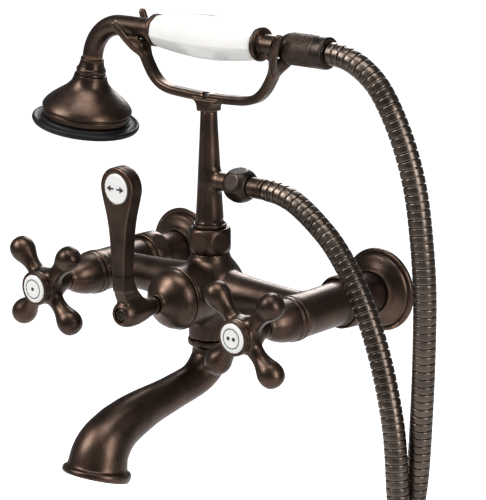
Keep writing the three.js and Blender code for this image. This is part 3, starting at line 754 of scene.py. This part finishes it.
def body_field():
    half = CENTRES / 2
    barrel = softened([(15.9, 42.5), (15.9, 45.6), (14.7, 47.2), (14.4, 48.4), (14.4, 87.8),
                       (14.9, 88.9),
                       (14.9, 91.5)], 0.5)
    flare = [(16.3, 6), (15.0, 20), (13.4, 35), (12.4, 54), (11.8, 70), (11.5, half)]
    tube = softened([(r, -x) for r, x in reversed(flare)] + flare)
    boss = softened([(5, 50.5), (11, 51), (16, 53.5), (19.4, 58.5), (20.4, 66), (20.4, 104)], 0.5)
    neck = softened([(19.6, 0), (19.2, 9.5), (16.7, 17), (14.0, 22), (13.1, 25.3), (11.2, 25.3),
                     (11.2, 30)])
    spigot = softened([(16, 0), (15.6, 14), (14.9, 22), (14.8, 33.4)])
    out_y = (0, -RISER_OUT, 0)
    solids = [
        turned_field(tube, out_y, RIGHT),
        turned_field(boss),
        turned_field(neck, out_y, UP),
        turned_field(spigot, out_y, DOWN),
    ]
    barrels = [turned_field(barrel, (x, 0, 0)) for x in (-half, half)]
    bores = [rod_field(13.7, 74, 110), rod_field(9.4, 10, 40, out_y, DOWN),
             rod_field(6.5, 0, 36, (0, -RISER_OUT - 2, 0), UP)]
    for x in (-half, half):
        bores.append(rod_field(8.5, 40, 83, (x, 0, 0)))
        bores.append(rod_field(10.5, 82.2, 95, (x, 0, 0)))

    def field(p):
        shape = solids[0](p)
        for other in solids[1:]:
            shape = plus(shape, other(p), 4.0)
        for other in barrels:
            shape = plus(shape, other(p), 2.2)
        for bore in bores:
            shape = minus(shape, bore(p), 0.4)
        return shape

    return field


stand_for("faucet_body", surface(body_field(), (-106, -106, -35), (106, -41, 32), 0.8), BRONZE, 40)


# Valves: bonnet, cross handle, bezel and porcelain index on each side.


def cross_handle_field(x):
    hub = softened([(6.6, 121.2), (6.9, 123.6), (8.4, 127.4), (10.5, 131.3), (11.5, 135), (11.7, 139),
                    (11.7, 144.3), (11.0, 146.0)])
    arm = softened([(6.6, 0), (6.2, 8), (5.5, 13), (5.2, 17), (5.6, 20.4), (6.7, 24), (8.1, 27.2),
                    (8.7, 30.4),
                    (8.3, 34), (6.9, 37), (4.4, 39), (0.4, 40)], steps=3)
    hub_shape = turned_field(hub, (x, 0, 0))
    arm_shape = turned_field(arm, (0, 0, 0), (1, 0, 0))
    bores = [rod_field(4.4, 110, 134, (x, 0, 0)), rod_field(2.2, 133, 141, (x, 0, 0)),
             rod_field(7.6, 140, 150, (x, 0, 0))]

    def field(p):
        u, v = p[:, 0] - x, p[:, 2]
        a, b = np.abs(u + v) * math.sqrt(0.5), np.abs(u - v) * math.sqrt(0.5)
        folded = np.stack([np.maximum(a, b), p[:, 1] + HANDLE_OUT, np.minimum(a, b)], 1)
        shape = plus(hub_shape(p), arm_shape(folded), 2.6)
        for bore in bores:
            shape = minus(shape, bore(p), 0.4)
        return shape

    return field


def valve(side, x):
    place = axis_place((x, 0, 0), OUT)
    bonnet = bored(
        [(15.2, 91.8), (15.2, 93.2), (14.5, 93.8), (14.9, 94.5), (14.9, 96.9), (14.2, 97.6),
         (13.9, 101),
         (13.2, 105), (12.2, 108.7), (10.9, 112.2), (9.3, 115.2), (7.7, 117.5), (6.9, 119.1),
         (6.9, 120.4)],
        [(13, 91.8), (13, 96), (10.9, 98), (10.9, 108.6), (5.8, 112), (5.8, 120.4)],
    )
    stand_for(f"valve_bonnet_{side}", revolve(bonnet, place, 112), BRONZE)
    handle = surface(cross_handle_field(x), (x - 34, -147, -34), (x + 34, -120.5, 34), 0.6)
    stand_for(f"cross_handle_{side}", handle, BRONZE, 40)
    bezel = softened(
        [(7.9, 146.3), (11.7, 146.3), (11.7, 148.0), (11.1, 148.6), (11.7, 149.2), (11.7, 150.4),
         (11.2, 151),
         (9.9, 151), (9.9, 147.6), (7.9, 147.6)], 0.25, closed=True)
    stand_for(f"index_bezel_{side}", revolve(bezel, place, 96), BRONZE)
    button = softened([(0, 147.9), (9.6, 147.9), (9.6, 150.9), (8.2, 151.6), (4, 151.95), (0, 152)],
                      0.3)
    stand_for(f"index_button_{side}", revolve(button, place, 80), PORCELAIN)
    body = f"{side}_handle"
    circle = ring(6.1, 6.7, 151.2, 151.9, 0.1)
    add_piece(f"index_circle_{side}", revolve(circle, place, 72), INK, body, "dark_plastic")
    offsets = (0,) if side == "hot" else (-2.2, 2.2)
    for number, offset in enumerate(offsets):
        dot = [(0, 151.2), (1.3, 151.2), (1.3, 152.04), (0, 152.08)]
        dot_place = axis_place((x + offset, 0, 0), OUT)
        add_piece(f"index_dot_{side}_{number}", revolve(dot, dot_place, 32), INK, body, "dark_plastic")


for side, x in SIDES:
    valve(side, x)


# The diverter: trim ring, bell bonnet and lever.

place = axis_place((0, 0, 0), OUT)
stand_for("diverter_trim_ring", revolve(ring(17.6, 21.3, 104.3, 107, 0.7), place, 128), BRONZE)
diverter_bonnet = bored(
    [(20.4, 107.3), (20.3, 109), (19.6, 111.8), (18, 114.8), (15.5, 117.3), (12.2, 119.6), (9.2, 121.7),
     (7.6, 123.3), (6.9, 124.4), (6.7, 126)],
    [(17.4, 107.3), (16.4, 111), (14, 114), (5.4, 119.8), (5.4, 126)],
)
stand_for("diverter_bonnet", revolve(diverter_bonnet, place, 128), BRONZE)


def lever_outline():
    """The arm from the front, as (x, z): narrow below, widening into a round disc on top."""
    start = math.asin(13.3 / DISC_RADIUS)
    side = softened([(4.6, 16), (4.8, 24), (5.9, 40), (7.4, 56), (8.9, 64), (10.5, 70), (12.3, 76),
                     (13.2, 79.8)])
    turn = np.linspace(start - math.pi / 2, 1.5 * math.pi - start, 40)
    disc = [(DISC_RADIUS * math.cos(a), DISC_HEIGHT + DISC_RADIUS * math.sin(a)) for a in turn]
    return side + disc + [(-x, z) for x, z in reversed(side)]


def lever_field():
    hub = turned_field(softened(
        [(5.4, 127.5), (5.4, 130.3), (6.5, 133.8), (8.2, 140.0), (9.2, 146.5), (9.3, 151), (9.0, 154.4),
         (8.1, 157.3), (6.9, 159.2), (6.0, 159.8)]))
    outline = lever_outline()
    foot = softened([(-160.6, 26), (-160.6, 17), (-158.6, 10), (-155.5, 5.5), (-150, 1.6), (-137, 0.6),
                     (-137, 4.5),
                     (-141.5, 9.5), (-147, 16), (-150.7, 26)], 1.0, closed=True)
    back = turned_field(softened([(6, 147.8), (10, 148.5), (12.9, 150.0), (DISC_RADIUS, 152.2),
                                  (DISC_RADIUS, 155)]), (0, 0, DISC_HEIGHT))
    bores = [rod_field(4.4, 120, 147), rod_field(2.2, 146, 156), rod_field(4.8, 154.8, 165)]
    recess = rod_field(10.2, 158.8, 165, (0, 0, DISC_HEIGHT))

    def field(p):
        arm = rounded_corner(polygon_distance(p[:, 0], p[:, 2], outline),
                             np.abs(p[:, 1] + 155.65) - 5.15, 1.1)
        web = rounded_corner(polygon_distance(p[:, 1], p[:, 2], foot), np.abs(p[:, 0]) - 4.5, 1.0)
        shape = plus(arm, web, 1.6)
        shape = plus(shape, hub(p), 2.2)
        shape = plus(shape, back(p), 0.6)
        for bore in bores:
            shape = minus(shape, bore(p), 0.5)
        return minus(shape, recess(p), 0.3)

    return field


stand_for("diverter_lever", surface(lever_field(), (-15, -161.5, -11), (15, -126.5, 99), 0.6), BRONZE,
          40)
disc = softened([(0, 159.1), (9.9, 159.1), (9.9, 160.6), (9.2, 161.2), (5, 161.45), (0, 161.5)], 0.3)
stand_for("lever_index_disc", revolve(disc, axis_place((0, 0, DISC_HEIGHT), OUT), 80), PORCELAIN)


def prism(outline, back, front):
    """A flat outline, as (x, z), from one distance out of the wall to a greater one."""
    count = len(outline)
    points = np.array([(x, -distance, z) for distance in (back, front) for x, z in outline])
    faces = [list(range(count)), list(range(2 * count - 1, count - 1, -1))]
    faces += [[i, i + count, (i + 1) % count + count, (i + 1) % count] for i in range(count)]
    return points, faces


# Two plain arrows that point away from each other, one to each side of the disc's middle.
for name, way in (("left", -1), ("right", 1)):
    arrow = [(1.2, 0.55), (4.0, 0.55), (4.0, 2.1), (7.4, 0), (4.0, -2.1), (4.0, -0.55), (1.2, -0.55)]
    shape = prism([(way * x, DISC_HEIGHT + z) for x, z in arrow], 160.9, 161.58)
    add_piece(f"lever_arrow_{name}", shape, INK, "diverter", "dark_plastic")


def screw_field():
    shank = turned_field(softened([(1.9, 139), (1.9, 155.1), (4.4, 155.1), (4.4, 158.3), (3.6, 159.1),
                                   (1.5, 159.4)], 0.3))

    def field(p):
        slot_a = np.maximum(np.abs(p[:, 0]) - 2.9, np.abs(p[:, 2]) - 0.8)
        slot_b = np.maximum(np.abs(p[:, 0]) - 0.8, np.abs(p[:, 2]) - 2.9)
        cross = np.maximum(np.minimum(slot_a, slot_b), 158.4 + p[:, 1])
        return minus(shank(p), cross, 0.2)

    return field


stand_for("lever_screw", surface(screw_field(), (-5, -160.2, -5), (5, -138, 5), 0.3), DARK_BRONZE, 40)


# The spout.


def spout():
    path = Path([(0, y, z) for y, z in [
        (-72, -24), (-72, -40), (-74.2, -50), (-85, -59), (-110, -64.3), (-142, -69.2), (-165.5, -76.2),
        (-178.9, -87), (-184.4, -103.6),
    ]])
    end = path.length
    outside = [(8.6, 0), (8.6, 10.2), (15.4, 10.2), (15.7, 11.5), (15.6, 14.6), (14.9, 16.0),
               (13.1, 16.5),
               (12.4, 17.6), (12.5, 24), (12.6, 30), (12.1, 37), (11.5, 45), (11.5, 58), (11.9, 72),
               (12.8, 88), (14.2, 102), (16.1, end - 34), (17.8, end - 24), (18.9, end - 15),
               (19.5, end - 9),
               (19.9, end - 7.2), (20.6, end - 6.5), (22.2, end - 5.6), (22.8, end - 3.6),
               (22.4, end - 1.6),
               (21.3, end - 0.2), (19.8, end)]
    inside = [(6.5, 0), (6.5, 30), (7.5, 60), (8.2, 88), (9.5, end - 34), (13.5, end - 22),
              (16.3, end - 12), (17.4, end - 1.2), (18.2, end)]
    place = bent_place(path, (1, 0, 0))
    stand_for("spout", revolve(bored(outside, inside, 0.5), place, 96), BRONZE)

    aerator = softened([(0, end - 11.6), (15.9, end - 11.6), (16.6, end - 5.0), (15.2, end - 4.5),
                        (13.5, end - 5.0), (12.9, end - 8.6), (0, end - 8.8)], 0.4)
    stand_for("spout_aerator", revolve(aerator, place, 72), DARK_PLASTIC)


spout()


# Riser: hexagon nut, slip ring, tapered column and side outlet.


def riser_field():
    column = softened([(11.2, 31.3), (11.2, 37.6), (9.7, 37.6), (9.6, 46.3), (8.9, 47.1), (9.35, 48.6),
                       (9.2, 52), (8.3, 66), (7.4, 84), (6.4, 103), (5.7, 118), (5.6, 121)], 0.3)
    outlet = softened([(6.0, 0), (6.0, 19.2), (5.3, 19.8), (5.2, 24)], 0.3)
    solid_column = turned_field(column, (0, -RISER_OUT, 0), UP)
    solid_outlet = turned_field(outlet, (0, -RISER_OUT, TEE_HEIGHT), RIGHT)
    bores = [rod_field(5, 20, 60, (0, -RISER_OUT, 0), UP),
             rod_field(3.8, 59, 79, (0, -RISER_OUT, 0), UP),
             rod_field(3.6, 0, 30, (0, -RISER_OUT, TEE_HEIGHT), RIGHT),
             rod_field(2.1, 108, 130, (0, -RISER_OUT, 0), UP)]

    def field(p):
        shape = plus(solid_column(p), solid_outlet(p), 4.5)
        for bore in bores:
            shape = minus(shape, bore(p), 0.3)
        return shape

    return field


place = axis_place((0, -RISER_OUT, 0), UP)
nut = hex_nut(16.3, 15.65, 25.6, 42.6, [(11.6, 20, 38), (9.9, 36, 50)], (0, -RISER_OUT, 0), UP,
              math.radians(42), 0.45)
stand_for("riser_nut", nut, BRONZE)
stand_for("riser_slip_ring", revolve(ring(9.9, 11.4, 42.9, 45.2, 0.7), place, 96), BRONZE)
stand_for("riser_tube", surface(riser_field(), (-13.5, -85.5, 31), (25, -58.5, 121.5), 0.6), BRONZE, 40)


# Cradle.


def cradle_field():
    """The cradle as a distance: a bar, a boss with a stepped hole, and a saddle and horns at each end."""
    low = 130.4
    # The bar's centre line as (x, z) for positive x; the other side mirrors it.
    line = softened([(0, low), (17, low + 0.3), (34, 131.8), (43, 134.6), (49.5, 140.2), (54.4, 148),
                     (57.4, 154.0), (59.2, 158.4)], steps=5)
    root = [(57.6, 0, 154.5), (60.2, 5, 156.8), (64, 9.8, 163), (68.5, 13.2, 169.8)]
    horns = []
    for tip in ((72, 14.2, 173.5), (72.5, 14, 178.5)):
        path = Path(root + [tip])
        horns.append(bar_field(path.point(np.linspace(0, path.length, 14)), np.linspace(3.0, 2.5, 14)))
    boss = softened([(-6, 121.3), (6, 121.3), (6.2, 125.0), (7.6, 127.4), (11.5, 129.6), (-11.5, 129.6),
                     (-7.6, 127.4), (-6.2, 125.0)], 0.8, closed=True)
    screw_hole = rod_field(2.2, 110, 136, (0, 0, 0), UP)
    head_hole = rod_field(4.4, 130.4, 140, (0, 0, 0), UP)

    def bar(x, y, z):
        best = np.full(x.shape, 1e9)
        for (ax, az), (bx, bz) in zip(line, line[1:]):
            ex, ez = bx - ax, bz - az
            t = np.clip(((x - ax) * ex + (z - az) * ez) / (ex * ex + ez * ez + 1e-9), 0, 1)
            best = np.minimum(best, np.hypot(x - ax - ex * t, z - az - ez * t))
        return rounded_corner(best - 2.9, np.abs(y) - 4.4, 1.9)

    def saddle(x, y, z):
        """The open collar that the pipe lies in, 60 degrees to either side of its lowest line."""
        drop = HANDSET_HEIGHT - z
        wall = rounded_corner(np.abs(np.hypot(y, drop) - 9.35) - 1.65, np.abs(x - CRADLE_HALF) - 2.9,
                              0.8)
        return rounded_corner(wall, np.abs(y) * 0.5 - drop * 0.866, 0.8)

    def field(p):
        x, y, z = np.abs(p[:, 0]), p[:, 1] + RISER_OUT, p[:, 2]
        shape = plus(bar(x, y, z), saddle(x, y, z), 3.0)
        turned_y = np.sign(p[:, 0]) * y
        for side, horn in zip((turned_y, -turned_y), horns):
            shape = plus(shape, horn(np.stack([x, side, z], 1)), 2.8)
        block = rounded_corner(polygon_distance(p[:, 0], z, boss), np.abs(y) - 6, 1.0)
        shape = plus(shape, block, 1.6)
        centred = np.stack([p[:, 0], y, z], 1)
        shape = minus(shape, screw_hole(centred), 0.3)
        return minus(shape, head_hole(centred), 0.3)

    return field


stand_for("cradle", surface(cradle_field(), (-77, -90, 120.5), (77, -54, 183), 0.6), BRONZE, 45)
screw = softened([(0, 110), (1.8, 110), (1.8, 130.7), (4.1, 130.7), (4.1, 131.7), (2.8, 132.6),
                  (0, 133)], 0.3)
stand_for("cradle_screw", revolve(screw, place, 48), DARK_BRONZE)


# Hose ends.

place = axis_place((0, -RISER_OUT, TEE_HEIGHT), RIGHT)
nut = hex_nut(12, 12.0, 18.4, 36.8, [(6.3, 10, 28.3), (5.2, 27, 40)], (0, -RISER_OUT, TEE_HEIGHT),
              RIGHT, 0.2, 0.4)
stand_for("hose_nut_lower", nut, DARK_BRONZE)
ferrule = bored(
    [(5.9, 25.9), (5.9, 27.9), (4.9, 28), (4.9, 37.2), (6.6, 37.2), (6.9, 38.2), (6.9, 46.4),
     (6.6, 46.8),
     (6.9, 47.2), (6.9, 49.4), (6.6, 50)],
    [(2.6, 25.9), (2.6, 50)],
)
stand_for("hose_ferrule_lower", revolve(ferrule, place, 72), BRONZE)


# Handset.


def elbow():
    """The bent pipe, and the place and direction of its lower end."""
    bend, start = 28.0, -79.5
    turn = math.pi / 2 - HEAD_TILT
    arc = [turn * i / 8 for i in range(9)]
    points = [(-47.8, -RISER_OUT, HANDSET_HEIGHT)]
    points += [(start - bend * math.sin(a), -RISER_OUT,
                HANDSET_HEIGHT - bend + bend * math.cos(a)) for a in arc]
    down = np.array((-math.sin(HEAD_TILT), 0, -math.cos(HEAD_TILT)))
    points.append(tuple(np.array(points[-1]) + 1.6 * down))
    path = Path(points)
    run = path.length
    heights = [0, 4, *np.linspace(8, run - 3, 22), run]
    profile = [(7.0, h) for h in heights] + [(5.4, h) for h in reversed(heights)]
    stand_for("handset_elbow", revolve(profile, bent_place(path, (0, 1, 0)), 80), BRONZE)
    return np.array(points[-1]), down


def faceted(corners, turn, softness=0.6):
    """Turns a round section into one with flats, whose corners are a little eased."""
    step = 2 * np.pi / corners

    def shape(radius, angle, height):
        off = np.mod(angle - turn, step) - step / 2
        flat = math.cos(step / 2) / np.cos(off)
        return radius * (1 - softness + softness * flat)

    return shape


def handset():
    place = axis_place((0, -RISER_OUT, HANDSET_HEIGHT), RIGHT)
    stand_for("grip_collar_front", revolve(ring(5.3, 11, -47.5, -44.8, 0.6), place, 80), BRONZE)
    grip = bored(
        [(10.3, -44.5), (11.4, -40), (12.8, -31.5), (14.2, -19), (15.1, -7), (15.3, 3), (15.0, 13),
         (13.9, 25),
         (12.2, 36.5), (11.0, 42), (10.4, 44)],
        [(5.7, -44.5), (5.7, 44)], 0.8)
    stand_for("porcelain_grip", revolve(grip, place, 160, faceted(8, math.radians(12))), PORCELAIN, 60)
    collar = bored(
        [(10.8, 44.3), (11.2, 45.2), (11.2, 46.6), (10.4, 47.6), (7.3, 48), (6.9, 49.4), (6.9, 59.4)],
        [(5.3, 44.3), (5.3, 59.4)])
    stand_for("grip_collar_rear", revolve(collar, place, 80), BRONZE)
    tail = bored([(6.2, 60.3), (6.2, 70), (8.6, 70), (8.6, 79)], [(3.2, 60.3), (3.2, 79)])
    stand_for("handset_tail", revolve(tail, place, 72), BRONZE)
    knurled_nut(place)
    insert = bored([(8.6, 80.9), (8.6, 86), (7.4, 87), (7.4, 101.6)], [(3, 80.9), (3, 101.6)])
    stand_for("hose_ferrule_upper", revolve(insert, place, 72), HOSE_METAL)


def knurled_nut(place):
    """The upper hose nut, with a diamond knurl between two plain bands."""
    low, high, teeth, depth = 72.6, 92.4, 48, 0.3

    def knurl(radius, angle, height):
        spiral = teeth * angle
        slope = 2 * np.pi * (height - low) / 1.38
        ridges = np.maximum(np.abs(np.sin((spiral + slope) / 2)), np.abs(np.sin((spiral - slope) / 2)))
        fade = np.clip((height - low) / 0.7, 0, 1) * np.clip((high - height) / 0.7, 0, 1)
        outside = radius > 9.8
        return radius - outside * fade * depth * (1 - ridges) * 2.2

    rows = [(10.5, h) for h in np.arange(low - 0.2, high + 0.2, 0.172)]
    outside = [*softened([(6.6, 66.2), (8.3, 66.2), (9.5, 68.6), (10.4, 71.6), rows[0]]), *rows[1:],
               *softened([(10.5, high + 0.7), (9.9, high + 1.1), (9.9, high + 1.7), (10.6, high + 2.1),
                          (10.6, 99.6), (10.2, 101.5), (9.5, 102), (7.9, 102)])]
    inside = [(7.9, 87), (9, 86), (9, 69.7), (6.6, 69.7)]
    stand_for("hose_nut_upper", revolve(outside + inside, place, 288, knurl), DARK_BRONZE, 50)


def shower_head(origin, down):
    place = axis_place(origin, down)
    collar = bored(
        [(7.6, 0.3), (8.1, 1.0), (8.0, 2.2), (8.5, 4.6), (9.2, 7.2), (10.1, 8.0), (10.4, 9.2),
         (10.0, 10.3),
         (10.3, 11.2), (10.4, 12)],
        [(5.6, 0.3), (5.6, 12)])
    stand_for("head_collar", revolve(collar, place, 96), BRONZE)
    bell = bored(
        [(11.2, 12.3), (11.6, 14.6), (12.8, 18), (15.2, 21.2), (19, 24.4), (23.2, 27.5), (27, 30.6),
         (29.8, 33.6), (31.2, 36), (31.3, 37), (30.6, 37.6), (29.5, 37.9), (29.5, 38.5), (30.3, 38.9),
         (30.4, 42.5), (29.8, 43.4)],
        [(5.6, 12.3), (9, 18), (14, 25.5), (22, 31.5), (26, 36), (27, 43.4)])
    stand_for("shower_bell", revolve(bell, place, 128), BRONZE)
    rim = bored(
        [(30.6, 43.8), (31.2, 45.4), (34.4, 45.2), (36, 44.4), (37.3, 45.2), (37.6, 46.8), (36.4, 48.8),
         (33, 49.4)],
        [(24.8, 43.8), (26.4, 46), (26.4, 49.4)], 0.6)
    stand_for("spray_rim", revolve(rim, place, 128), RUBBER)
    spray_face(place)


def spray_face(place):
    """A domed plate with three rings of raised rubber jets, each with its own hole."""
    plate = softened([(0, 46.3), (24.4, 46.3), (26.1, 46.7), (26.1, 48.0), (25.0, 48.6), (14, 49.1),
                      (0, 49.3)], 0.3)
    points, faces = revolve(plate, place, 96)
    faces = [list(f) for f in faces]
    jet = [(1.25, 48.2), (1.05, 49.5), (0.85, 49.75), (0.45, 49.7), (0.4, 48.4)]
    for count, radius in ((6, 6.0), (12, 12.5), (18, 19.0)):
        for i in range(count):
            a = 2 * math.pi * i / count
            centre = place(np.array([radius]), np.array([a]), np.array([0.0]))[0]
            along = place(np.array([0.0]), np.array([0.0]), np.array([1.0]))[0]
            along = along - place(np.array([0.0]), np.array([0.0]), np.array([0.0]))[0]
            more, more_faces = revolve(jet, axis_place(centre, along), 12)
            faces += [[v + len(points) for v in f] for f in more_faces]
            points = np.concatenate([points, more])
    stand_for("spray_face", (points, faces), DARK_PLASTIC, 40)


handset()
shower_head(*elbow())


# The remaining CAD nodes keep their shapes and get the finish of their slots.

for node, piece in frame["nodes"].items():
    if not piece.hide_render:
        piece.data.materials.clear()
        piece.data.materials.append(SLOT_FINISH[node_slot[node]])
